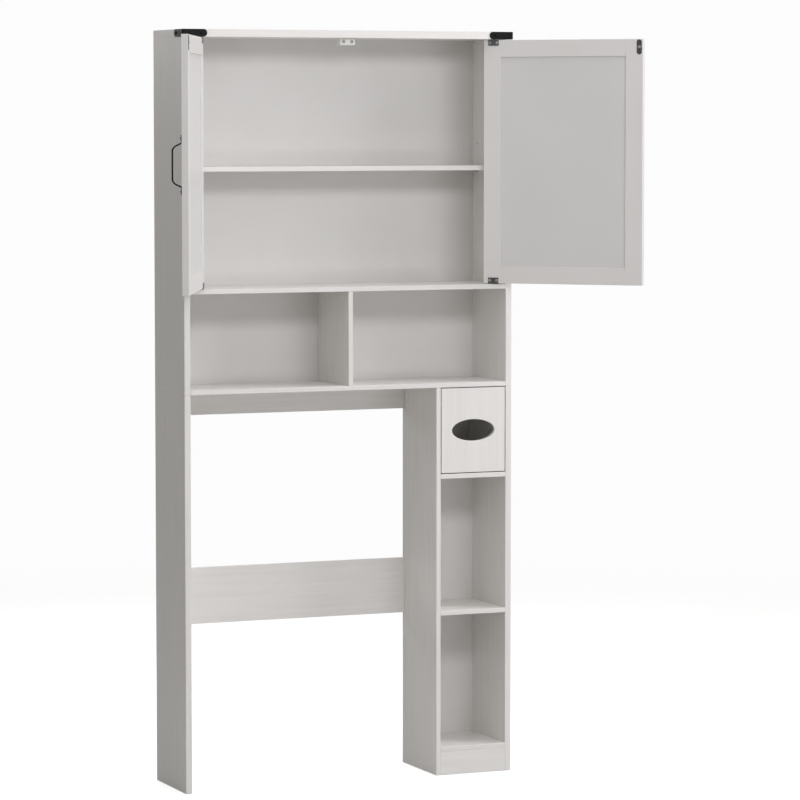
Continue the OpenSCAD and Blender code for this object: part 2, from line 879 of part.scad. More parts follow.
module door_panel() {
    block([stile_w - tongue, panel_y, door_z + door_rail_h - tongue + loose],
          [door_w - stile_w + tongue, panel_y + panel_t,
           door_z + door_h - door_rail_h + tongue - loose]);
}

// Hinge plate: an L whose leg is screwed to the inner face and whose tab lies over the
// door's end and carries the pivot pin
tab_front = 6;                  // how far the tab reaches past the pin
module hinge_plate() {
    difference() {
        union() {
            block([pivot_inset - plate_w / 2, door_t, -plate_h],
                  [pivot_inset + plate_w / 2, door_t + plate_t, tab_t]);
            block([pivot_inset - plate_w / 2, pivot_y - tab_front, 0],
                  [pivot_inset + plate_w / 2, door_t + plate_t, tab_t]);
        }
        translate([pivot_inset, pivot_y, -1]) cylinder(d = pivot_d + loose, h = tab_t + 2);
        for (x = plate_screw_xs)
            translate([x, door_t - 1, -plate_h / 2])
                rotate([-90, 0, 0]) cylinder(d = screw_d + 0.4, h = plate_t + 2);
    }
}

// Places a piece at the door's top end and, turned over, at its bottom end
module at_door_ends() {
    translate([0, 0, door_z + door_h]) children();
    translate([0, 0, door_z]) mirror([0, 0, 1]) children();
}

module hinge_plates() { at_door_ends() hinge_plate(); }

module pivot_pins() {
    at_door_ends() translate([pivot_inset, pivot_y, 0])
        cylinder(d = pivot_d, h = head_gap + bush_l - pin_end_gap);
}

module plate_screws_at() {
    at_door_ends() for (x = plate_screw_xs)
        translate([x, door_t + plate_t, -plate_h / 2])
            rotate([-90, 0, 0]) children();
}

module strike_screw_at() {
    translate([strike_x, door_t + strike_t, door_z + door_h - strike_top_gap - strike_h / 2])
        rotate([-90, 0, 0]) children();
}

// A pill-shaped steel plate that the catch's magnet holds
strike_head_cut = 0.2;
module strike_plate() {
    z_mid = door_z + door_h - strike_top_gap - strike_h / 2;
    half = (strike_h - strike_w) / 2;
    translate([strike_x, door_t, z_mid]) rotate([-90, 0, 0]) linear_extrude(strike_t)
        difference() {
            union() {
                square([strike_w, 2 * half], center = true);
                for (s = [-1, 1]) translate([0, s * half]) circle(d = strike_w);
            }
            circle(d = screw_d + 2 * strike_head_cut);
        }
}

module door_screws() {
    plate_screws_at() screw();
    strike_screw_at() screw();
}

// Handle: a strip bent to a low bow, with flat feet screwed on from outside
handle_x = door_w - handle_inset;
handle_z = door_z + door_h / 2;
arm_slope = 65;                 // an arm's steepest angle
foot_bend = 3;                  // centre-line radius from the foot to the arm
grip_bend = 14;                 // centre-line radius from the arm to the grip
bend_steps = 8;

// The bow's centre line at one end: a tight bend up from the foot, a straight stretch, and
// a wide bend down to the grip
bow_height = handle_rise - handle_t;
wide_bend = min(grip_bend, bow_height / (1 - cos(arm_slope)) - foot_bend - 0.5);
bow_straight = (bow_height - (foot_bend + wide_bend) * (1 - cos(arm_slope))) / sin(arm_slope);
bow_run = (foot_bend + wide_bend) * sin(arm_slope) + bow_straight * cos(arm_slope);
foot_end = -handle_l / 2 + handle_foot;
bow_arm = concat(
    [for (i = [0 : bend_steps]) let (a = arm_slope * i / bend_steps)
        [foot_end + foot_bend * sin(a), foot_bend * (1 - cos(a))]],
    [for (i = [bend_steps : -1 : 0]) let (a = arm_slope * i / bend_steps)
        [foot_end + bow_run - wide_bend * sin(a), bow_height - wide_bend * (1 - cos(a))]]);
bow_half = concat([[-handle_l / 2, 0]], bow_arm);
bow_line = concat(bow_half, [for (i = [len(bow_half) - 1 : -1 : 0])
    [-bow_half[i][0], bow_half[i][1]]]);

// The strip's outline: the centre line moved half its thickness to each side
function unit(v) = v / norm(v);
function bow_normal(i) =
    let (a = bow_line[max(i - 1, 0)], b = bow_line[min(i + 1, len(bow_line) - 1)],
         d = unit(b - a)) [-d[1], d[0]];
function bow_edge(side) = [for (i = [0 : len(bow_line) - 1])
    bow_line[i] + side * handle_t / 2 * bow_normal(i)];
bow_back = bow_edge(-1);
bow_outline = concat(bow_edge(1), [for (i = [len(bow_back) - 1 : -1 : 0]) bow_back[i]]);

module handle_screws_at() {
    for (s = [-1, 1])
        translate([handle_x, -handle_t, handle_z + s * (handle_l / 2 - handle_foot / 2)])
            rotate([90, 0, 0]) children();
}

module handle() {
    difference() {
        translate([handle_x - handle_w / 2, -handle_t / 2, handle_z])
            rotate([0, 90, 0]) rotate([0, 0, 180])
            linear_extrude(handle_w) polygon(bow_outline);
        handle_screws_at() translate([0, 0, -handle_t - 1])
            cylinder(d = screw_d + 0.4, h = handle_t + 2);
    }
}

module handle_screws() { handle_screws_at() screw(); }

module left_hinge_stile() { color(melamine) on_left_door() hinge_stile(); }
module left_meeting_stile() { color(melamine) on_left_door() meeting_stile(); }
module left_top_rail() { color(melamine) on_left_door() top_rail(); }
module left_bottom_rail() { color(melamine) on_left_door() bottom_rail(); }
module left_door_panel() { color(panel_grey) on_left_door() door_panel(); }
module left_hinge_plates() { color(zinc) on_left_door() hinge_plates(); }
module left_pivot_pins() { color(zinc) on_left_door() pivot_pins(); }
module left_strike_plate() { color(zinc) on_left_door() strike_plate(); }
module left_door_screws() { color(zinc) on_left_door() door_screws(); }
module left_handle() { color(black_steel) on_left_door() handle(); }
module left_handle_screws() { color(black_steel) on_left_door() handle_screws(); }

module right_hinge_stile() { color(melamine) on_right_door() hinge_stile(); }
module right_meeting_stile() { color(melamine) on_right_door() meeting_stile(); }
module right_top_rail() { color(melamine) on_right_door() top_rail(); }
module right_bottom_rail() { color(melamine) on_right_door() bottom_rail(); }
module right_door_panel() { color(panel_grey) on_right_door() door_panel(); }
module right_hinge_plates() { color(zinc) on_right_door() hinge_plates(); }
module right_pivot_pins() { color(zinc) on_right_door() pivot_pins(); }
module right_strike_plate() { color(zinc) on_right_door() strike_plate(); }
module right_door_screws() { color(zinc) on_right_door() door_screws(); }
module right_handle() { color(black_steel) on_right_door() handle(); }
module right_handle_screws() { color(black_steel) on_right_door() handle_screws(); }

left_leg();
column_partition();
right_leg();
plinth();
column_bottom();
column_shelf();
paper_box_floor();
column_back();
upper_rail();
lower_rail();
left_side();
right_side();
deck();
compartment_divider();
cabinet_floor();
top_board();
upper_back();
adjustable_shelf();
shelf_pins();
cam_bolts();
cam_locks();
dowels();
left_corner_strap();
right_corner_strap();
strap_screws();
catch_body();
catch_magnets();
wall_bracket();
cabinet_screws();
pivot_bushes();
paper_box_runners();
paper_box_front();
paper_box_left_side();
paper_box_right_side();
paper_box_back();
paper_box_bottom();
left_hinge_stile();
left_meeting_stile();
left_top_rail();
left_bottom_rail();
left_door_panel();
left_hinge_plates();
left_pivot_pins();
left_strike_plate();
left_door_screws();
left_handle();
left_handle_screws();
right_hinge_stile();
right_meeting_stile();
right_top_rail();
right_bottom_rail();
right_door_panel();
right_hinge_plates();
right_pivot_pins();
right_strike_plate();
right_door_screws();
right_handle();
right_handle_screws();
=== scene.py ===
import json
import math

import bmesh
import bpy
import numpy as np
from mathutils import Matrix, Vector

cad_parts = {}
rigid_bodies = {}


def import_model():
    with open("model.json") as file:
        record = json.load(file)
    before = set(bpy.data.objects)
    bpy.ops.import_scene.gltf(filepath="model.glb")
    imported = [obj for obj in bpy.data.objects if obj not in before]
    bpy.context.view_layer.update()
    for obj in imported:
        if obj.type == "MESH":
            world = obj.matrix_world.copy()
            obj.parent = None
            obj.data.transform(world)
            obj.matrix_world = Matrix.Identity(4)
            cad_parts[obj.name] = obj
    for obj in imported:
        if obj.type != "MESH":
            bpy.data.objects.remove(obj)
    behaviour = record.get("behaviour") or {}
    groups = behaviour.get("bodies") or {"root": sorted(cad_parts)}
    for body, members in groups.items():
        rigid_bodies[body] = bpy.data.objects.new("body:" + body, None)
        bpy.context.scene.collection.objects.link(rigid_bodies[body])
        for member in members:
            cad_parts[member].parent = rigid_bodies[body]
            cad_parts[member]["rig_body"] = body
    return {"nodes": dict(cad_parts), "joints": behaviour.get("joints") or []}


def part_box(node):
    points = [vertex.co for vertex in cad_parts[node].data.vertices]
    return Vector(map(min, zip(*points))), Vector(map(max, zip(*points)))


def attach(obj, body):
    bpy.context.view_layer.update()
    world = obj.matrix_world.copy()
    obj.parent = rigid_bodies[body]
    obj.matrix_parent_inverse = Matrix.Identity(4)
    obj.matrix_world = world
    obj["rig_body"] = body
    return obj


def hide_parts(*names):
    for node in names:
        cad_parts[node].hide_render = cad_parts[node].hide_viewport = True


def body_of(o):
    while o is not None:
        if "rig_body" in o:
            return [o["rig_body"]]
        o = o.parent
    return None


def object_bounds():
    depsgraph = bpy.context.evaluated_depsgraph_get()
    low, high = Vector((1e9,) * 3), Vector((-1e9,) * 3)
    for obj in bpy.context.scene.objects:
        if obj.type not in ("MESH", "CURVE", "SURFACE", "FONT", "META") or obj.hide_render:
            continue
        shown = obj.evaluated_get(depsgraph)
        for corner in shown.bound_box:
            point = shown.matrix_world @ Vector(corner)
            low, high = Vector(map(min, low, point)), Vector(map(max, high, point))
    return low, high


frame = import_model()
cad_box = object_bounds()


# ---- Legs and shelves of the lower unit ---------------------------------------------------
# Two tall legs, an inner upright, three small shelves and a plinth, cut from particle board
# and faced with white melamine foil that is pressed with a faint ash grain. Their outer
# edges are taped and eased to a small radius, and cams and dowels hold them together.

EASED_EDGE = 0.0011             # radius of a taped edge
SAME_POINT = 1e-6               # corners closer than this are one
ON_SIDE = 2e-5                  # how far off a side of the box a corner still lies on it
FLAT_ANGLE = math.radians(0.5)  # faces that meet at less than this are one face
HARD_ANGLE = math.radians(30)   # an edge sharper than this is shaded as an edge
CUT_ANGLE = math.radians(50)    # an edge sharper than this can be rounded
MELAMINE_LIGHT = "#EFEDEA"
MELAMINE_DARK = "#E8E6E2"
STREAK_W = 0.011                # width of a grain streak
STREAK_L = 0.260                # length of a grain streak
PORE_W = 0.0009                 # width of a pressed pore, wider than real so that it shows
PORE_L = 0.014                  # length of a pressed pore
PORE_DEPTH = 0.00004            # height of a pressed pore's relief


def linear(code):
    """An sRGB hex code as linear RGBA: each channel c becomes c / 12.92 below 0.04045, and
    ((c + 0.055) / 1.055) to the power 2.4 above it."""
    c = np.array([int(code[i:i + 2], 16) for i in (1, 3, 5)]) / 255
    return (*np.where(c <= 0.04045, c / 12.92, ((c + 0.055) / 1.055) ** 2.4), 1.0)


def add(tree, kind, inputs=None, **settings):
    """Adds a node to the tree, sets its settings, and sets or links each input: a value goes
    on the socket itself and an output socket is linked to it."""
    made = tree.nodes.new("ShaderNode" + kind)
    for key, value in settings.items():
        setattr(made, key, value)
    for key, value in (inputs or {}).items():
        if isinstance(value, bpy.types.NodeSocket):
            tree.links.new(value, made.inputs[key])
        else:
            made.inputs[key].default_value = value
    return made


def new_tree(name):
    """An empty material of that name, and its node tree."""
    material = bpy.data.materials.new(name)
    material.use_nodes = True
    material.node_tree.nodes.clear()
    return material, material.node_tree


def stretched(tree, across, along, grain_axis):
    """Object coordinates divided by a pattern's width on two axes and by its length on the
    grain's axis, so that noise of scale 1 makes streaks of that size."""
    place = add(tree, "TexCoord")
    scale = [1 / across] * 3
    scale[grain_axis] = 1 / along
    return add(tree, "Mapping", {"Vector": place.outputs["Object"], "Scale": scale}).outputs[0]


def surface(tree, broad, colours, fine, roughness, relief, constants):
    """The end of a material: a broad pattern mixes the first colour into the second, and a
    fine one moves the roughness from its first value to its second and raises a bump of the
    given strength and depth. The constants go on the shader's own sockets."""
    tone = add(tree, "Mix", {"Factor": broad, 6: linear(colours[0]), 7: linear(colours[1])},
               data_type="RGBA")
    gloss = add(tree, "MapRange", {"Value": fine, "To Min": roughness[0],
                                   "To Max": roughness[1]})
    bump = add(tree, "Bump", {"Height": fine, "Strength": relief[0], "Distance": relief[1]})
    shader = add(tree, "BsdfPrincipled", {"Base Color": tone.outputs[2],
                                          "Roughness": gloss.outputs["Result"],
                                          "Normal": bump.outputs["Normal"], **constants})
    add(tree, "OutputMaterial", {"Surface": shader.outputs["BSDF"]})


def melamine(name, grain_axis):
    """White melamine-faced particle board: resin-soaked paper pressed against a textured
    plate. That gives a satin white with broad pale streaks along the board, at their real
    size, and fine shallow pores that break up the gloss, drawn coarser than they are."""
    material, tree = new_tree(name)
    streaks = add(tree, "TexNoise", {"Vector": stretched(tree, STREAK_W, STREAK_L, grain_axis),
                                     "Scale": 1.0, "Detail": 5.0, "Roughness": 0.6,
                                     "Distortion": 0.25})
    pores = add(tree, "TexNoise", {"Vector": stretched(tree, PORE_W, PORE_L, grain_axis),
                                   "Scale": 1.0, "Detail": 3.0, "Roughness": 0.55})
    shade = add(tree, "MapRange", {"Value": streaks.outputs["Fac"], "From Min": 0.33,
                                   "From Max": 0.70})
    pore_mask = add(tree, "MapRange", {"Value": pores.outputs["Fac"], "From Min": 0.28,
                                       "From Max": 0.50})
    surface(tree, shade.outputs["Result"], (MELAMINE_DARK, MELAMINE_LIGHT),
            pore_mask.outputs["Result"], (0.56, 0.43), (0.5, PORE_DEPTH), {"IOR": 1.5})
    return material


def turned_z(points, pivot, angle):
    """Points turned about a vertical line through the pivot: (x, y) goes to
    (x cos a - y sin a, x sin a + y cos a) measured from the pivot."""
    c, s = math.cos(angle), math.sin(angle)
    return (points - pivot) @ np.array([[c, s, 0], [-s, c, 0], [0, 0, 1]]) + pivot


def corners_of(mesh):
    """The mesh's vertices as an array of points."""
    points = np.empty(len(mesh.vertices) * 3)
    mesh.vertices.foreach_get("co", points)
    return points.reshape(-1, 3)


def eased(node, material, radius=EASED_EDGE, swing=None, every_edge=False, segments=3):
    """A CAD piece with rounded edges. Doubles are merged and flat triangles joined into whole
    faces; then a Bevel of that radius takes the sharp edges whose two ends share two sides
    of the piece's own box, which leaves bores and grooves crisp, or every sharp edge. A
    door's piece is measured after a swing (pivot, angle) that shuts the door."""
    source = frame["nodes"][node]
    mesh = bpy.data.meshes.new(node + "_eased")
    work = bmesh.new()
    work.from_mesh(source.data)
    bmesh.ops.remove_doubles(work, verts=work.verts, dist=SAME_POINT)
    bmesh.ops.dissolve_limit(work, angle_limit=FLAT_ANGLE, verts=work.verts, edges=work.edges)
    work.to_mesh(mesh)
    # The source's own normals belong to its triangles and would shade the joined faces wrong.
    if mesh.has_custom_normals:
        mesh.attributes.remove(mesh.attributes["custom_normal"])
    sharp = np.array([len(e.link_faces) == 2 and e.calc_face_angle(0) > CUT_ANGLE
                      for e in work.edges])
    work.free()
    points = corners_of(mesh)
    if swing is not None:
        points = turned_z(points, *swing)
    low, high = points.min(0), points.max(0)
    on_side = np.abs(np.stack([points - low, points - high], 1)) < ON_SIDE
    ends = np.empty(len(mesh.edges) * 2, int)
    mesh.edges.foreach_get("vertices", ends)
    ends = ends.reshape(-1, 2)
    shared = (on_side[ends[:, 0]] & on_side[ends[:, 1]]).any(1).sum(1)
    chosen = sharp if every_edge else sharp & (shared >= 2)
    mesh.attributes.new("bevel_weight_edge", "FLOAT", "EDGE").data.foreach_set(
        "value", chosen.astype(float))
    mesh.polygons.foreach_set("use_smooth", np.ones(len(mesh.polygons), bool))
    mesh.set_sharp_from_angle(angle=HARD_ANGLE)
    hard = np.empty(len(mesh.edges), bool)
    mesh.attributes["sharp_edge"].data.foreach_get("value", hard)
    mesh.attributes["sharp_edge"].data.foreach_set("value", hard & ~chosen)
    mesh.materials.clear()
    mesh.materials.append(material)
    piece = bpy.data.objects.new(node + "_finished", mesh)
    bpy.context.scene.collection.objects.link(piece)
    round_off = piece.modifiers.new("eased edges", "BEVEL")
    round_off.limit_method = "WEIGHT"
    round_off.width = radius
    round_off.segments = segments
    round_off.use_clamp_overlap = False
    round_off.harden_normals = True
    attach(piece, body_of(source)[0])
    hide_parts(node)
    return piece


upright_board = melamine("melamine board, grain upright", 2)
level_board = melamine("melamine board, grain level", 0)

for node in ("left_leg", "column_partition", "right_leg"):
    eased(node, upright_board)
for node in ("plinth", "column_bottom", "column_shelf", "paper_box_floor", "upper_rail",
             "lower_rail"):
    eased(node, level_board)


# ---- Back boards --------------------------------------------------------------------------
# Thin hardboard, pressed wood fibre under a coat of white roller lacquer, slid into grooves
# behind the column and behind the upper unit.

SAWN_EDGE = 0.0003              # radius of an edge that is only sawn
LACQUER_LIGHT = "#E7E6E4"
LACQUER_DARK = "#E0DFDC"
ROLLER_GRAIN = 0.0022           # spacing of the roller's stipple
ROLLER_DEPTH = 0.00004          # height of the stipple
LACQUER_CLOUDS = 9.0            # clouds in the lacquer in a metre


def hardboard():
    """Lacquered hardboard: the roller leaves a fine stipple in a thin satin film, over slow
    cloudy changes in how much of it the fibre drank."""
    material, tree = new_tree("roller-lacquered hardboard")
    place = add(tree, "TexCoord")
    clouds = add(tree, "TexNoise", {"Vector": place.outputs["Object"],
                                    "Scale": LACQUER_CLOUDS, "Detail": 4.0})
    stipple = add(tree, "TexNoise", {"Vector": place.outputs["Object"],
                                     "Scale": 1 / ROLLER_GRAIN, "Detail": 2.0})
    surface(tree, clouds.outputs["Fac"], (LACQUER_DARK, LACQUER_LIGHT), stipple.outputs["Fac"],
            (0.48, 0.60), (0.35, ROLLER_DEPTH), {"IOR": 1.5})
    return material


back_board = hardboard()
for node in ("column_back", "upper_back"):
    eased(node, back_board, SAWN_EDGE)


# ---- Cams, bolts and dowels ---------------------------------------------------------------
# Die-cast zinc cams in round housings pull on steel bolts that are screwed into the
# uprights; grooved beech dowels keep the boards in line. They sit inside the boards, and
# only the cams' slotted faces show, under the shelves and behind the rails.

CAST_LIGHT = "#C9CBCD"
CAST_DARK = "#A3A6A9"
CAST_CRYSTAL = 0.0012           # a crystal in the die-cast zinc, coarser than real to show
PLATED_LIGHT = "#D2D3D4"
PLATED_DARK = "#A9ABAD"
PLATED_CRYSTAL = 0.0009         # a crystal in the zinc plating, coarser than real to show
CRYSTAL_DEPTH = 0.00003         # depth of a pit at a crystal's middle
FILM_CRYSTALS = 2.5             # width of a patch of the film over the zinc, in crystals
BEECH_LIGHT = "#D3B183"
BEECH_DARK = "#B48F60"
FIBRE_W = 0.0006                # width of a beech fleck
FIBRE_L = 0.009                 # length of a beech fleck
FIBRE_DEPTH = 0.00008           # height of the grain's relief


def zinc(name, colours, roughness, crystal):
    """Zinc, cast or plated: a blue-grey metal whose crystals leave small pits, smoothest in
    their middles, under a thin film that is lighter in some patches than in others."""
    material, tree = new_tree(name)
    place = add(tree, "TexCoord")
    pits = add(tree, "TexVoronoi", {"Vector": place.outputs["Object"], "Scale": 1 / crystal})
    film = add(tree, "TexNoise", {"Vector": place.outputs["Object"],
                                  "Scale": 1 / (FILM_CRYSTALS * crystal), "Detail": 4.0})
    surface(tree, film.outputs["Fac"], colours, pits.outputs["Distance"], roughness,
            (0.3, CRYSTAL_DEPTH), {"Metallic": 1.0})
    return material


def beech():
    """Unfinished beech: pale pinkish brown, close straight grain and short dark flecks."""
    material, tree = new_tree("turned beech")
    grain = add(tree, "TexNoise", {"Vector": stretched(tree, FIBRE_W, FIBRE_L, 0),
                                   "Scale": 1.0, "Detail": 4.0})
    surface(tree, grain.outputs["Fac"], (BEECH_DARK, BEECH_LIGHT), grain.outputs["Fac"],
            (0.62, 0.62), (0.5, FIBRE_DEPTH), {})
    return material


def finish_node(node, material):
    """A CAD piece whose shape is right keeps its mesh and takes this material."""
    piece = frame["nodes"][node]
    for held in piece.material_slots:
        held.material = material


die_cast = zinc("die-cast zinc", (CAST_DARK, CAST_LIGHT), (0.34, 0.55), CAST_CRYSTAL)
plated = zinc("zinc-plated steel", (PLATED_DARK, PLATED_LIGHT), (0.20, 0.38), PLATED_CRYSTAL)
finish_node("cam_locks", die_cast)
finish_node("cam_bolts", plated)
finish_node("dowels", beech())


# ---- Upper unit ---------------------------------------------------------------------------
# The same melamine board: two sides on top of the legs, the deck, the upright between the
# open compartments, the cabinet floor, a thicker top and the loose adjustable shelf.

for node in ("left_side", "right_side", "compartment_divider"):
    eased(node, upright_board)
for node in ("deck", "cabinet_floor", "top_board", "adjustable_shelf"):
    eased(node, level_board)


# ---- Shelf pins ---------------------------------------------------------------------------
# Four turned steel pins, zinc plated, pushed into holes in the side boards. Each has a
# collar with a flat top, so that the shelf lies on the pin itself.

PIN_RADIUS = 0.00245
PIN_ROUND = 0.0008              # radius round the pin's end
COLLAR_RADIUS = 0.004
COLLAR_FLAT = 0.00235           # height of the collar's flat above the pin's middle
COLLAR_THICK = 0.0015
COLLAR_EDGE = 0.0003            # width of the bevel on the collar's edges
ROUND_STEPS = 32                # points round a turned piece
QUARTER_STEPS = 5               # points along a rounded edge, seen in section
SUNK_END = 1e-4                 # corners this close to the hidden end of a pin lie on it
WELD = 2e-6                     # points of a new surface closer than this are one
NO_LENGTH = 1e-7                # an edge shorter than this is taken away
CREASE_ANGLE = math.radians(38)  # an edge sharper than this is shaded as an edge


def solids_of(node):
    """The separate solids of a CAD node, each as an array of its corners. Every corner starts
    with its own number and takes the lowest number at the other end of its edges, again and
    again, until each solid holds one number throughout."""
    mesh = frame["nodes"][node].data
    points, same = np.unique(np.round(corners_of(mesh), 6), axis=0, return_inverse=True)
    ends = np.empty(len(mesh.edges) * 2, int)
    mesh.edges.foreach_get("vertices", ends)
    a, b = same.reshape(-1)[ends.reshape(-1, 2)].T
    number = np.arange(len(points))
    while True:
        lowest = np.minimum(number[a], number[b])
        spread = number.copy()
        np.minimum.at(spread, a, lowest)
        np.minimum.at(spread, b, lowest)
        if np.array_equal(spread, number):
            break
        number = spread
    return [points[number == n] for n in np.unique(number)]


def skin(name, grids, material, body, replaced):
    """One piece from grids of points (rows, columns, 3). A grid's columns go round and close
    on themselves; its rows run from end to end, and a row whose points coincide is a pole.
    Doubles are merged, which closes the poles, and faces are turned outwards."""
    points, faces, start = [], [], 0
    for grid in grids:
        rows, columns = grid.shape[:2]
        i, j = np.meshgrid(np.arange(rows - 1), np.arange(columns), indexing="ij")
        k = (j + 1) % columns
        quads = np.stack([i * columns + j, i * columns + k, (i + 1) * columns + k,
                          (i + 1) * columns + j], -1).reshape(-1, 4)
        points.append(grid.reshape(-1, 3))
        faces.append(quads + start)
        start += rows * columns
    mesh = bpy.data.meshes.new(name)
    mesh.from_pydata(np.concatenate(points), [], np.concatenate(faces).tolist())
    work = bmesh.new()
    work.from_mesh(mesh)
    bmesh.ops.remove_doubles(work, verts=work.verts, dist=WELD)
    bmesh.ops.dissolve_degenerate(work, edges=work.edges, dist=NO_LENGTH)
    bmesh.ops.recalc_face_normals(work, faces=work.faces)
    work.to_mesh(mesh)
    work.free()
    mesh.polygons.foreach_set("use_smooth", np.ones(len(mesh.polygons), bool))
    mesh.set_sharp_from_angle(angle=CREASE_ANGLE)
    mesh.materials.append(material)
    piece = bpy.data.objects.new(name, mesh)
    bpy.context.scene.collection.objects.link(piece)
    flat_faces = piece.modifiers.new("flat faces stay flat", "WEIGHTED_NORMAL")
    flat_faces.keep_sharp = True
    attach(piece, body)
    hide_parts(*replaced)
    return piece


def turned_rod(along, radius, centre, axis, steps=ROUND_STEPS):
    """A turned piece: a ring of the given radius at each place along the axis. Radius and
    place may each be one number a ring, or a table (rings, steps) where it isn't round."""
    angle = np.arange(steps) * 2 * math.pi / steps
    axis = np.asarray(axis, float)
    side = np.cross(axis, [0, 0, 1] if abs(axis[2]) < 0.9 else [0, 1, 0])
    side /= np.linalg.norm(side)
    up = np.cross(side, axis)
    radius = np.asarray(radius, float)
    along = np.asarray(along, float)
    radius, along = (np.repeat(a[:, None], steps, 1) if a.ndim == 1 else a
                     for a in (radius, along))
    ring = np.cos(angle)[:, None] * side + np.sin(angle)[:, None] * up
    return np.asarray(centre) + along[:, :, None] * axis + radius[:, :, None] * ring


middle_x = sum(corner.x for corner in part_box("top_board")) / 2
left_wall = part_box("left_side")[1].x
right_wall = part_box("right_side")[0].x
quarter = np.linspace(0, math.pi / 2, QUARTER_STEPS)
around = np.arange(ROUND_STEPS) * 2 * math.pi / ROUND_STEPS
flat_top = np.minimum(1, COLLAR_FLAT / COLLAR_RADIUS / np.maximum(np.sin(around), 0.001))
pin_grids = []
for solid in solids_of("shelf_pins"):
    low, high = solid.min(0), solid.max(0)
    length = high[0] - low[0]
    inward, sunk = (1, left_wall - low[0]) if low[0] < middle_x else (-1, high[0] - right_wall)
    reach = solid[:, 0] * inward
    sunk_end = solid[reach < reach.min() + SUNK_END].mean(0)
    along = np.r_[0, 0, length - PIN_ROUND + PIN_ROUND * np.sin(quarter), length]
    radius = np.r_[0, PIN_RADIUS, PIN_RADIUS - PIN_ROUND + PIN_ROUND * np.cos(quarter), 0]
    pin_grids.append(turned_rod(along, radius, sunk_end, (inward, 0, 0)))
    along = sunk + np.array([0, 0, COLLAR_EDGE, COLLAR_THICK - COLLAR_EDGE, COLLAR_THICK,
                             COLLAR_THICK])
    radius = COLLAR_RADIUS - np.array([0, COLLAR_EDGE, 0, 0, COLLAR_EDGE, 0])
    radius = radius[:, None] * flat_top
    radius[[0, -1]] = 0
    pin_grids.append(turned_rod(along, radius, sunk_end, (inward, 0, 0)))
skin("shelf_pins_turned", pin_grids, plated, "frame", ["shelf_pins"])


# ---- Corner straps ------------------------------------------------------------------------
# A flat steel strip, black powder coated, is bent round each top corner, with round ends
# on the front and on the side of the top board. A pan-head screw near each end holds it.

STRAP_THICK = 0.002
STRAP_EDGE = 0.0006             # radius of the strip's upper edge
BEND_INSIDE = 0.0007            # inner radius of the bend
COAT_BLACK = "#0A0A0A"
COAT_WORN = "#131312"
COAT_PEEL = 0.0011              # spacing of the coat's orange peel
COAT_DEPTH = 0.00008            # height of the peel
COAT_CLOUDS = 55.0              # areas of thinner film in a metre
LEG_STEPS = 14                  # points along each leg of a strap
BEND_STEPS = 10                 # points round a strap's bend
END_STEPS = 25                  # points round a strap's round end
OVER_STEPS = 6                  # points over a strap's rounded edge, seen in section


def powder_coat():
    """Black polyester powder coat: baked on, so it flows to a satin film with a low orange
    peel, a little greyer where the film is thin."""
    material, tree = new_tree("black powder coat")
    place = add(tree, "TexCoord")
    peel = add(tree, "TexNoise", {"Vector": place.outputs["Object"], "Scale": 1 / COAT_PEEL,
                                  "Detail": 2.0})
    film = add(tree, "TexNoise", {"Vector": place.outputs["Object"], "Scale": COAT_CLOUDS,
                                  "Detail": 4.0})
    thin = add(tree, "MapRange", {"Value": film.outputs["Fac"], "From Min": 0.45,
                                  "From Max": 0.75})
    surface(tree, thin.outputs["Result"], (COAT_BLACK, COAT_WORN), peel.outputs["Fac"],
            (0.40, 0.54), (0.5, COAT_DEPTH), {"IOR": 1.45, "Specular IOR Level": 0.22})
    return material


def strap_grid(low, high, front_y):
    """The strip laid flat is a stadium: every outline point is a point of its middle line
    plus the end radius times a direction, and the rings move it inwards and upwards over a
    rounded edge. Length along the strip then follows the board's front, a quarter circle
    round the corner and the board's side, and height stands off along the normal there."""
    end_r = (high[2] - low[2]) / 2
    front_leg = high[0] - BEND_INSIDE
    bend = BEND_INSIDE * math.pi / 2
    side_leg = high[1] - front_y - BEND_INSIDE
    length = front_leg + bend + side_leg
    middle = np.r_[np.linspace(end_r, front_leg, LEG_STEPS),
                   np.linspace(front_leg, front_leg + bend, BEND_STEPS)[1:],
                   np.linspace(front_leg + bend, length - end_r, LEG_STEPS)[1:]]
    end_turn = np.linspace(-math.pi / 2, math.pi / 2, END_STEPS)[1:-1]
    on_middle = np.r_[middle, 0 * end_turn + length - end_r, middle[::-1],
                      0 * end_turn + end_r]
    facing = np.r_[0 * middle - math.pi / 2, end_turn, 0 * middle + math.pi / 2,
                   end_turn + math.pi]
    over = np.linspace(0, math.pi / 2, OVER_STEPS)
    inset = np.r_[end_r, 0, STRAP_EDGE * (1 - np.cos(over)), end_r][:, None]
    height = np.r_[0, 0, STRAP_THICK - STRAP_EDGE + STRAP_EDGE * np.sin(over), STRAP_THICK]
    height = np.repeat(height[:, None], len(facing), 1)
    along = on_middle + (end_r - inset) * np.cos(facing)
    up = (end_r - inset) * np.sin(facing)
    turn = np.clip((along - front_leg) / bend, 0, 1) * math.pi / 2
    x = np.where(along < front_leg, high[0] - along, BEND_INSIDE * (1 - np.sin(turn)))
    y = front_y + BEND_INSIDE * (1 - np.cos(turn)) + np.maximum(along - front_leg - bend, 0)
    return np.stack([x - height * np.sin(turn), y - height * np.cos(turn),
                     (low[2] + high[2]) / 2 + up], -1)


black_coat = powder_coat()
front_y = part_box("top_board")[0].y
rack_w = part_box("top_board")[1].x
low, high = (np.array(corner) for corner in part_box("left_corner_strap"))
left_strap = strap_grid(low, high, front_y)
right_strap = left_strap * (-1, 1, 1) + (rack_w, 0, 0)
for node, strap in (("left_corner_strap", left_strap), ("right_corner_strap", right_strap)):
    skin(node + "_bent", [strap], black_coat, "frame", [node])


# ---- Screws -------------------------------------------------------------------------------
# Small pan-head screws with a cross recess: black ones in the straps, zinc-plated ones in
# the catch, the wall bracket and the paper box's runners.

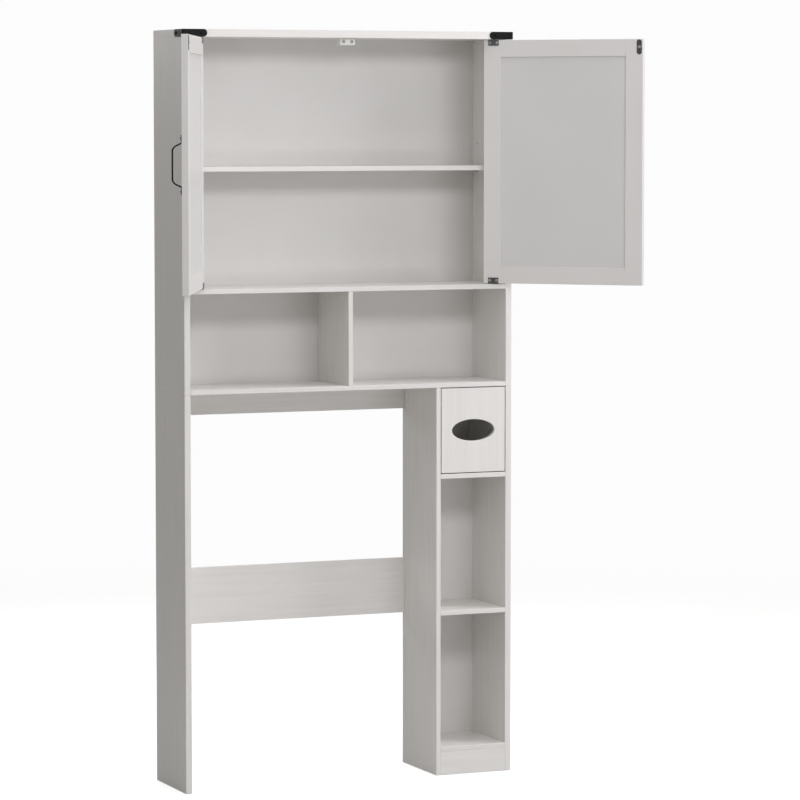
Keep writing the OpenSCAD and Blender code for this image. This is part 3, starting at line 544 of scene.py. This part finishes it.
HEAD_RADIUS = 0.003
HEAD_HEIGHT = 0.0015
HEAD_WALL = 0.0005              # height of the head's upright rim
RECESS_DEPTH = 0.0009
RECESS_HALF = 0.00042           # half the width of a recess arm
RECESS_REACH = 0.0018           # from the middle to an arm's end
SHANK_RADIUS = 0.00125
THREAD_HEIGHT = 0.00025
THREAD_PITCH = 0.0014
RING_GAP = 0.0004               # from one ring of the shank to the next
POINT_LENGTH = 0.003            # length of the shank's tapered point
ARM_FLANK = 0.00012             # width of the slope at a recess arm's side
ARM_RUNOUT = 0.00025            # width of the slope at a recess arm's end
SCREW_STEPS = 40                # points round a screw
DOME_STEPS = 16                 # rings over a screw's head
NEAR_END = 0.0004               # corners this close to a screw's end tell how wide it is


def screw_grid(head_seat, axis, shank_l):
    """A screw turned about its axis. The shank's radius swells along a helix: a triangle
    wave of height over pitch minus turn. The head is a short wall under a flat dome, and
    over the dome's top the height drops by the recess where either arm covers the point."""
    angle = np.arange(SCREW_STEPS) * 2 * math.pi / SCREW_STEPS
    shank = np.linspace(-shank_l, 0, int(shank_l / RING_GAP) + 1)
    wave = 2 * np.abs((shank[:, None] / THREAD_PITCH - angle / (2 * math.pi)) % 1 - 0.5)
    taper = np.clip((shank + shank_l) / POINT_LENGTH, 0, 1)[:, None]
    shank_r = (SHANK_RADIUS + THREAD_HEIGHT * wave) * taper
    dome = np.linspace(0, math.pi / 2, DOME_STEPS)[1:]
    head_r = np.r_[HEAD_RADIUS, HEAD_RADIUS, HEAD_RADIUS * np.cos(dome)][:, None]
    head_r = np.repeat(head_r, SCREW_STEPS, 1)
    head_z = np.r_[0, HEAD_WALL, HEAD_WALL + (HEAD_HEIGHT - HEAD_WALL) * np.sin(dome)][:, None]
    off_arm = np.minimum(np.abs(head_r * np.sin(angle)), np.abs(head_r * np.cos(angle)))
    in_arm = np.clip((RECESS_HALF - off_arm) / ARM_FLANK + 0.5, 0, 1)
    in_reach = np.clip((RECESS_REACH - head_r) / ARM_RUNOUT + 0.5, 0, 1)
    head_z = head_z - RECESS_DEPTH * in_arm * in_reach
    heights = np.concatenate([np.repeat(shank[:, None], SCREW_STEPS, 1), head_z])
    return turned_rod(heights, np.concatenate([shank_r, head_r]), head_seat, axis, SCREW_STEPS)


def screws(node, material, swing=None):
    """New screws where a CAD node has its own: each solid's longest side is its axis, and
    its wider end is the head. A door's screws are measured with the door shut."""
    grids = []
    for solid in solids_of(node):
        if swing is not None:
            solid = turned_z(solid, *swing)
        low, high = solid.min(0), solid.max(0)
        k = int(np.argmax(high - low))
        wide = [np.ptp(np.delete(solid[np.abs(solid[:, k] - end) < NEAR_END], k, 1), 0).max()
                for end in (low[k], high[k])]
        axis = np.zeros(3)
        axis[k] = 1 if wide[1] > wide[0] else -1
        seat = (low + high) / 2
        seat[k] = high[k] - HEAD_HEIGHT if axis[k] > 0 else low[k] + HEAD_HEIGHT
        grid = screw_grid(seat, axis, high[k] - low[k] - HEAD_HEIGHT)
        if swing is not None:
            grid = turned_z(grid, swing[0], -swing[1])
        grids.append(grid)
    return skin(node + "_turned", grids, material, body_of(frame["nodes"][node])[0],
                [node])


screws("strap_screws", black_coat)
screws("cabinet_screws", plated)


# ---- Catch, wall bracket and bushes -------------------------------------------------------
# A white nylon block under the top board holds two ferrite magnets that meet the doors'
# strike plates. A small zinc-plated angle behind it is fixed to the wall, and white nylon
# bushes in the top and the floor carry the doors' pivots.

NYLON_WHITE = "#F1F0EC"
NYLON_SHADE = "#E6E4DE"
SPARK_GRAIN = 0.000625          # grain of the spark-eroded mould, coarser than real to show
SPARK_DEPTH = 0.00004           # height of that grain
NYLON_CLOUDS = 60.0             # cloudy patches from the flow in a metre
FERRITE_GREY = "#AEAFB0"
FERRITE_DARK = "#97989A"
FERRITE_GRAINS = 2200.0         # sintered grains in a metre, coarser than real to show
BLOCK_EDGE = 0.0009             # radius of the catch block's edges
SHEET_EDGE = 0.0003             # radius of an edge of punched steel sheet
RUNNER_EDGE = 0.0006            # radius of a runner's edges


def moulded_nylon():
    """White injection-moulded nylon: milky, a little light passes under its skin, and the
    spark-eroded tool leaves a fine even matt texture."""
    material, tree = new_tree("moulded white nylon")
    place = add(tree, "TexCoord")
    texture = add(tree, "TexNoise", {"Vector": place.outputs["Object"],
                                     "Scale": 1 / SPARK_GRAIN, "Detail": 2.0})
    flow = add(tree, "TexNoise", {"Vector": place.outputs["Object"], "Scale": NYLON_CLOUDS})
    surface(tree, flow.outputs["Fac"], (NYLON_SHADE, NYLON_WHITE), texture.outputs["Fac"],
            (0.36, 0.52), (0.4, SPARK_DEPTH),
            {"IOR": 1.53, "Subsurface Weight": 0.08, "Subsurface Scale": 0.002})
    return material


def ferrite():
    """Sintered ferrite with a ground face: a grey ceramic with tiny lighter grains."""
    material, tree = new_tree("sintered ferrite")
    place = add(tree, "TexCoord")
    grains = add(tree, "TexVoronoi", {"Vector": place.outputs["Object"],
                                      "Scale": FERRITE_GRAINS})
    tone = add(tree, "Mix", {"Factor": grains.outputs["Distance"], 6: linear(FERRITE_DARK),
                             7: linear(FERRITE_GREY)}, data_type="RGBA")
    shader = add(tree, "BsdfPrincipled", {"Base Color": tone.outputs[2], "Roughness": 0.58})
    add(tree, "OutputMaterial", {"Surface": shader.outputs["BSDF"]})
    return material


nylon = moulded_nylon()
eased("catch_body", nylon, BLOCK_EDGE)
finish_node("catch_magnets", ferrite())
eased("wall_bracket", plated, SHEET_EDGE, every_edge=True, segments=2)
finish_node("pivot_bushes", nylon)
eased("paper_box_runners", nylon, RUNNER_EDGE)


# ---- Paper box ----------------------------------------------------------------------------
# A pull-out box for rolls: two grooved sides, a back and a front of melamine board with a
# hardboard bottom. The front has an oval routed through it, its rim eased by hand.

OVAL_HALF_W = 0.0535
OVAL_HALF_H = 0.025
RIM_RADIUS = 0.0012             # radius of the oval's rim
CORNER_RADIUS = 0.0009          # radius of the front's outer corners
SIDE_STEPS = 25                 # points along each side of the front


def pierced_board(low, high, thick):
    """A board with an oval through it, as a ring of profiles. The profile goes up the oval's
    wall, over its rounded rim, out across the face to the outer edge, round that edge and
    back behind. A point on it is a mix of two outlines: the ellipse, grown by the rim's
    share, and the rounded rectangle, shrunk by the edge's share."""
    half = (high - low)[[0, 2]] / 2
    inner = half - CORNER_RADIUS
    run = np.linspace(-1, 1, SIDE_STEPS + 1)[:-1]
    arc = np.linspace(0, math.pi / 2, QUARTER_STEPS)[:-1]
    side, corner = np.ones(len(run)), np.ones(len(arc))
    centre_x = inner[0] * np.r_[side, corner, -run, -corner, -side, -corner, run, corner]
    centre_z = inner[1] * np.r_[run, corner, side, corner, -run, -corner, -side, -corner]
    facing = np.concatenate([np.r_[q * side, q + arc] for q in np.arange(4) * math.pi / 2])
    outline = np.stack([centre_x + CORNER_RADIUS * np.cos(facing),
                        centre_z + CORNER_RADIUS * np.sin(facing)])
    bearing = np.arctan2(outline[1] / half[1], outline[0] / half[0])
    over = np.linspace(0, math.pi / 2, QUARTER_STEPS)
    fold, flat = np.sin(over), np.cos(over)
    # share is 0 on the oval and 1 on the edge, moved is how far off that outline a point
    # lies, and depth is how far behind the front.
    share = np.repeat([0, 1, 1, 0], len(over))
    moved = np.r_[RIM_RADIUS * (1 - flat), CORNER_RADIUS * (1 - fold),
                  CORNER_RADIUS * (1 - flat), RIM_RADIUS * (1 - fold)]
    depth = np.r_[RIM_RADIUS * (1 - fold), CORNER_RADIUS * (1 - flat),
                  thick - CORNER_RADIUS * (1 - fold), thick - RIM_RADIUS * (1 - flat)]
    share, moved, depth = (np.r_[a, a[:1]][:, None] for a in (share, moved, depth))
    oval = ((OVAL_HALF_W + moved) * np.cos(bearing), (OVAL_HALF_H + moved) * np.sin(bearing))
    edge = (centre_x + (CORNER_RADIUS - moved) * np.cos(facing),
            centre_z + (CORNER_RADIUS - moved) * np.sin(facing))
    x, z = (o * (1 - share) + e * share for o, e in zip(oval, edge))
    middle = (low + high) / 2
    return np.stack([middle[0] + x, low[1] + depth + 0 * x, middle[2] + z], -1)


low, high = (np.array(corner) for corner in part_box("paper_box_front"))
skin("paper_box_front_pierced", [pierced_board(low, high, high[1] - low[1])], upright_board,
     "paper_box", ["paper_box_front"])
depth_board = melamine("melamine board, grain front to back", 1)
for node in ("paper_box_left_side", "paper_box_right_side"):
    eased(node, depth_board)
eased("paper_box_back", level_board)
eased("paper_box_bottom", back_board, SAWN_EDGE)


# ---- Doors --------------------------------------------------------------------------------
# Two doors, each a frame of stiles and rails in painted fibreboard round a thin panel that
# is a shade greyer. They hang on steel pins, and stand open here; their fittings are worked
# out with the door shut and then swung open with it.

PAINT_LIGHT = "#E9E7E5"
PAINT_DARK = "#E3E1DE"
PANEL_LIGHT = "#E1E0DE"
PANEL_DARK = "#DBDAD7"
SPRAY_PEEL = 0.0030             # spacing of the sprayed paint's orange peel
SPRAY_DEPTH = 0.00006           # height of the peel
SPRAY_CLOUDS = 7.0              # areas in a metre where a coat lies heavier
FRAME_EDGE = 0.0008             # radius of a stile's or rail's edges
PANEL_EDGE = 0.0003             # radius of a panel's edges


def sprayed_paint(name, colours):
    """Fibreboard sprayed with satin lacquer: an even skin with a shallow orange peel, and
    broad areas where the second coat lies a trace heavier."""
    material, tree = new_tree(name)
    place = add(tree, "TexCoord")
    peel = add(tree, "TexNoise", {"Vector": place.outputs["Object"], "Scale": 1 / SPRAY_PEEL,
                                  "Detail": 2.0})
    coats = add(tree, "TexNoise", {"Vector": place.outputs["Object"], "Scale": SPRAY_CLOUDS,
                                   "Detail": 3.0})
    surface(tree, coats.outputs["Fac"], colours, peel.outputs["Fac"], (0.36, 0.46),
            (0.35, SPRAY_DEPTH), {"IOR": 1.5})
    return material


frame_paint = sprayed_paint("sprayed door frame", (PAINT_DARK, PAINT_LIGHT))
panel_paint = sprayed_paint("sprayed door panel", (PANEL_DARK, PANEL_LIGHT))

# Each door's pivot and the angle that shuts it, which is the joint's limit farther from zero.
swings = {}
for joint in frame["joints"]:
    if joint["type"] == "hinge":
        shut = math.radians(max(joint["range_deg"], key=abs))
        swings[joint["child"]] = (np.array([*joint["pos_m"][:2], 0.0]), shut)

for door, swing in swings.items():
    for part in ("hinge_stile", "meeting_stile", "top_rail", "bottom_rail"):
        eased(door.replace("door", part), frame_paint, FRAME_EDGE, swing)
    eased(door + "_panel", panel_paint, PANEL_EDGE, swing)


# ---- Hinge plates, pivots and strike plates -----------------------------------------------
# Angles of brushed steel are screwed over the doors' ends and carry the pivot pins; a
# pill-shaped plate of the same steel at each door's free top corner meets the catch.

# Both tones are darker than bare steel: painted reflection, standing in for the dark
# surroundings that the plates mirror.
BRUSH_AND_PAINTED_REFLECTION_LIGHT = "#9A9B9E"
BRUSH_AND_PAINTED_REFLECTION_DARK = "#5A5B5E"
BRUSH_W = 0.00025               # width of a brush mark, coarser than real to show
BRUSH_L = 0.012                 # length of a brush mark
BRUSH_DEPTH = 0.00003           # depth of a brush mark
HINGE_EDGE = 0.00025            # radius of a hinge plate's edges


def brushed_steel():
    """Brushed steel: a belt leaves fine straight scratches down the plate, which stretch the
    highlight across them. Both tones are kept darker than bare steel: a painted reflection of
    dark surroundings, over which the lamps give the real glints."""
    material, tree = new_tree("brushed steel")
    marks = add(tree, "TexNoise", {"Vector": stretched(tree, BRUSH_W, BRUSH_L, 2),
                                   "Scale": 1.0, "Detail": 3.0})
    surface(tree, marks.outputs["Fac"], (BRUSH_AND_PAINTED_REFLECTION_DARK, BRUSH_AND_PAINTED_REFLECTION_LIGHT), marks.outputs["Fac"],
            (0.20, 0.34), (0.4, BRUSH_DEPTH), {"Metallic": 1.0})
    return material


brushed = brushed_steel()
for door, swing in swings.items():
    eased(door.replace("door", "hinge_plates"), brushed, HINGE_EDGE, every_edge=True,
                  segments=2)
    eased(door.replace("door", "strike_plate"), brushed, SHEET_EDGE, every_edge=True,
                  segments=2)
    finish_node(door.replace("door", "pivot_pins"), plated)
    screws(door + "_screws", plated, swing)


# ---- Handles ------------------------------------------------------------------------------
# Each handle is one strip of steel, bent to a low bow with a flat foot at each end, powder
# coated black and screwed on through its feet.

STRIP_THICK = 0.003
STRIP_EDGE = 0.0009             # radius of the strip's long edges
FOOT_LENGTH = 0.016
FOOT_CORNER = 0.003             # radius of a foot's corners in plan
FOOT_BEND = 0.003               # middle-line radius from the foot to the arm
GRIP_BEND = 0.014               # middle-line radius from the arm to the grip
ARM_SLOPE = math.radians(65)    # an arm's steepest angle
FOOT_STEPS = 6                  # points along a foot's straight part
GRIP_STEPS = 8                  # points along half of the grip
TIGHT_STEPS = 12                # points round the tight arc
WIDE_STEPS = 16                 # points round the wide arc
TIP_STEPS = 7                   # points over a foot's rounded end


def handle_grid(low, high):
    """A rounded rectangle carried along the bow's middle line. The line lies on the door for
    the length of a foot, turns up through a tight arc, runs straight, turns back through a
    wide arc to the grip, and mirrors about its middle. The section stands square to it, and
    at each end its width shrinks as a quarter circle."""
    half_l = (high[2] - low[2]) / 2
    rise = high[1] - low[1] - STRIP_THICK
    arcs = (FOOT_BEND + GRIP_BEND) * (1 - math.cos(ARM_SLOPE))
    run = ((FOOT_BEND + GRIP_BEND) * math.sin(ARM_SLOPE)
           + (rise - arcs) / math.tan(ARM_SLOPE))
    foot = np.r_[FOOT_CORNER * (1 - np.cos(np.linspace(0, math.pi / 2, TIP_STEPS))),
                 np.linspace(FOOT_CORNER, FOOT_LENGTH, FOOT_STEPS)[1:]]
    up = np.linspace(0, ARM_SLOPE, TIGHT_STEPS)[1:]
    back = np.linspace(ARM_SLOPE, 0, WIDE_STEPS)
    grip = np.linspace(FOOT_LENGTH + run, half_l, GRIP_STEPS)[1:]
    along = np.r_[foot, FOOT_LENGTH + FOOT_BEND * np.sin(up),
                  FOOT_LENGTH + run - GRIP_BEND * np.sin(back), grip]
    lift = np.r_[0 * foot, FOOT_BEND * (1 - np.cos(up)), rise - GRIP_BEND * (1 - np.cos(back)),
                 rise + 0 * grip]
    tilt = np.r_[0 * foot, up, back, 0 * grip]
    along = np.r_[along, 2 * half_l - along[-2::-1]]
    lift = np.r_[lift, lift[-2::-1]]
    tilt = np.r_[tilt, -tilt[-2::-1]]
    corner = np.maximum(FOOT_CORNER - np.minimum(along, 2 * half_l - along), 0)
    half_w = (high[0] - low[0]) / 2 - FOOT_CORNER + np.sqrt(FOOT_CORNER ** 2 - corner ** 2)
    quarter = np.linspace(0, math.pi / 2, QUARTER_STEPS)
    turn = np.concatenate([q + quarter for q in np.arange(4) * math.pi / 2])
    side = np.repeat([1, -1, -1, 1], QUARTER_STEPS)
    face = np.repeat([1, 1, -1, -1], QUARTER_STEPS)
    across = (half_w[:, None] - STRIP_EDGE) * side + STRIP_EDGE * np.cos(turn)
    out = (STRIP_THICK / 2 - STRIP_EDGE) * face + STRIP_EDGE * np.sin(turn) + 0 * across
    across, out = (np.concatenate([0 * a[:1], a, 0 * a[-1:]]) for a in (across, out))
    along, lift, tilt = (np.r_[a[0], a, a[-1]][:, None] for a in (along, lift, tilt))
    return np.stack([(low[0] + high[0]) / 2 + across,
                     high[1] - STRIP_THICK / 2 - lift - out * np.cos(tilt),
                     low[2] + along - out * np.sin(tilt)], -1)


for door, swing in swings.items():
    node = door.replace("door", "handle")
    shut_points = turned_z(corners_of(frame["nodes"][node].data), *swing)
    bow = turned_z(handle_grid(shut_points.min(0), shut_points.max(0)), swing[0], -swing[1])
    skin(node + "_bow", [bow], black_coat, door, [node])
    screws(node + "_screws", black_coat, swing)


# ---- Room and camera ----------------------------------------------------------------------
# A plain white floor that fades into a white room, a broad key light from the front right
# and soft fills, seen from a little left of the front at eye height.

FLOOR_RADIUS = 6.0
FLOOR_SOLID = 1.6               # out to here the floor takes shadows in full
FLOOR_GONE = 4.5                # beyond this only the room's white is seen
FLOOR_GLOW = 0.68               # what the floor adds to its own light, so that it reads white
FLOOR_LIGHT = "#CACAC9"
FLOOR_DARK = "#C6C6C5"
FLOOR_DROP = 0.0005             # the floor lies this far under the feet, so the faces don't meet
FLOOR_RINGS = 24
FLOOR_SPOKES = 64
ROOM_SEEN = (0.98, 0.98, 0.98, 1)  # linear white behind the rack
ROOM_FILL = (1, 0.975, 0.93, 1)    # linear colour of the room's own light, a little warm
ROOM_FILL_STRENGTH = 0.24
LAMP_COLOUR = "#FBFAFE"
LAMP_DISTANCE = 3.3             # from the middle of the rack to each lamp
CAMERA_LENS = 168.1             # millimetres, for Blender's usual sensor of 36
CAMERA_PLACE = (-2.812, -8.067, 1.521)
CAMERA_DOWN = 4.31              # degrees below level
CAMERA_RIGHT = 22.98            # degrees to the right of straight ahead


def floor_paint():
    """Matt white floor paint that turns clear with distance. It glows for the camera alone,
    so that it reads white and still casts no light up at the rack."""
    material, tree = new_tree("matt white floor")
    place = add(tree, "TexCoord")
    reach = add(tree, "VectorMath", {0: place.outputs["Object"]}, operation="LENGTH")
    fade = add(tree, "MapRange", {"Value": reach.outputs["Value"], "From Min": FLOOR_SOLID,
                                  "From Max": FLOOR_GONE}, interpolation_type="SMOOTHSTEP")
    mottle = add(tree, "TexNoise", {"Vector": place.outputs["Object"], "Scale": 3.0})
    tone = add(tree, "Mix", {"Factor": mottle.outputs["Fac"], 6: linear(FLOOR_DARK),
                             7: linear(FLOOR_LIGHT)}, data_type="RGBA")
    rays = add(tree, "LightPath")
    glow = add(tree, "Math", {0: rays.outputs["Is Camera Ray"], 1: FLOOR_GLOW},
               operation="MULTIPLY")
    solid = add(tree, "BsdfPrincipled", {"Base Color": tone.outputs[2], "Roughness": 0.8,
                                         "Emission Color": (1, 1, 1, 1),
                                         "Emission Strength": glow.outputs[0]})
    clear = add(tree, "BsdfTransparent")
    mixed = add(tree, "MixShader", {0: fade.outputs["Result"], 1: solid.outputs["BSDF"],
                                    2: clear.outputs["BSDF"]})
    add(tree, "OutputMaterial", {"Surface": mixed.outputs["Shader"]})
    return material


centre = (np.array(cad_box[0]) + np.array(cad_box[1])) / 2
ring, spoke = np.meshgrid(np.linspace(0, FLOOR_RADIUS, FLOOR_RINGS + 1),
                          np.arange(FLOOR_SPOKES) * 2 * math.pi / FLOOR_SPOKES, indexing="ij")
disc = np.stack([ring * np.cos(spoke), ring * np.sin(spoke), 0 * ring], -1)
floor_mesh = bpy.data.meshes.new("floor")
i, j = np.meshgrid(np.arange(FLOOR_RINGS), np.arange(FLOOR_SPOKES), indexing="ij")
inner, outer = i * FLOOR_SPOKES, (i + 1) * FLOOR_SPOKES
k = (j + 1) % FLOOR_SPOKES
tiles = np.stack([inner + j, outer + j, outer + k, inner + k], -1).reshape(-1, 4)
floor_mesh.from_pydata(disc.reshape(-1, 3), [], tiles.tolist())
floor_mesh.materials.append(floor_paint())
floor = bpy.data.objects.new("floor", floor_mesh)
floor.location = (centre[0], centre[1], -FLOOR_DROP)
bpy.context.scene.collection.objects.link(floor)

room = bpy.data.worlds.new("white room")
room.use_nodes = True
room.node_tree.nodes.clear()
rays = add(room.node_tree, "LightPath")
seen = add(room.node_tree, "Background", {"Color": ROOM_SEEN, "Strength": 1.0})
fill = add(room.node_tree, "Background", {"Color": ROOM_FILL, "Strength": ROOM_FILL_STRENGTH})
shown = add(room.node_tree, "MixShader", {0: rays.outputs["Is Camera Ray"],
                                          1: fill.outputs[0], 2: seen.outputs[0]})
add(room.node_tree, "OutputWorld", {"Surface": shown.outputs[0]})
bpy.context.scene.world = room


def lamp(name, azimuth, elevation, width, height, power):
    """A soft box of that width, height and power in watts that faces the rack from that
    bearing in degrees: azimuth 0 is straight in front and 90 to the right."""
    data = bpy.data.lights.new(name, "AREA")
    data.shape = "RECTANGLE"
    data.size, data.size_y = width, height
    data.energy = power
    data.color = linear(LAMP_COLOUR)[:3]
    made = bpy.data.objects.new(name, data)
    a, e = math.radians(azimuth), math.radians(elevation)
    away = np.array([math.sin(a) * math.cos(e), -math.cos(a) * math.cos(e), math.sin(e)])
    made.location = centre + LAMP_DISTANCE * away
    made.rotation_euler = (math.pi / 2 - e, 0, a)
    bpy.context.scene.collection.objects.link(made)


lamp("key", 64, 27, 1.4, 1.8, 48)
lamp("front fill", 0, 28, 2.1, 0.5, 27)
lamp("low fill", 15, -3, 2.0, 0.4, 11)
lamp("overhead", 10, 75, 2.2, 2.2, 25)
lamp("left fill", -70, 42, 1.6, 1.6, 9)
lamp("back fill", 180, 25, 2.4, 1.2, 45)

camera = bpy.data.objects.new("camera", bpy.data.cameras.new("camera"))
camera.data.lens = CAMERA_LENS
camera.location = CAMERA_PLACE
camera.rotation_euler = (math.radians(90 - CAMERA_DOWN), 0, math.radians(-CAMERA_RIGHT))
bpy.context.scene.collection.objects.link(camera)
bpy.context.scene.camera = camera
bpy.context.scene.view_settings.view_transform = "Standard"
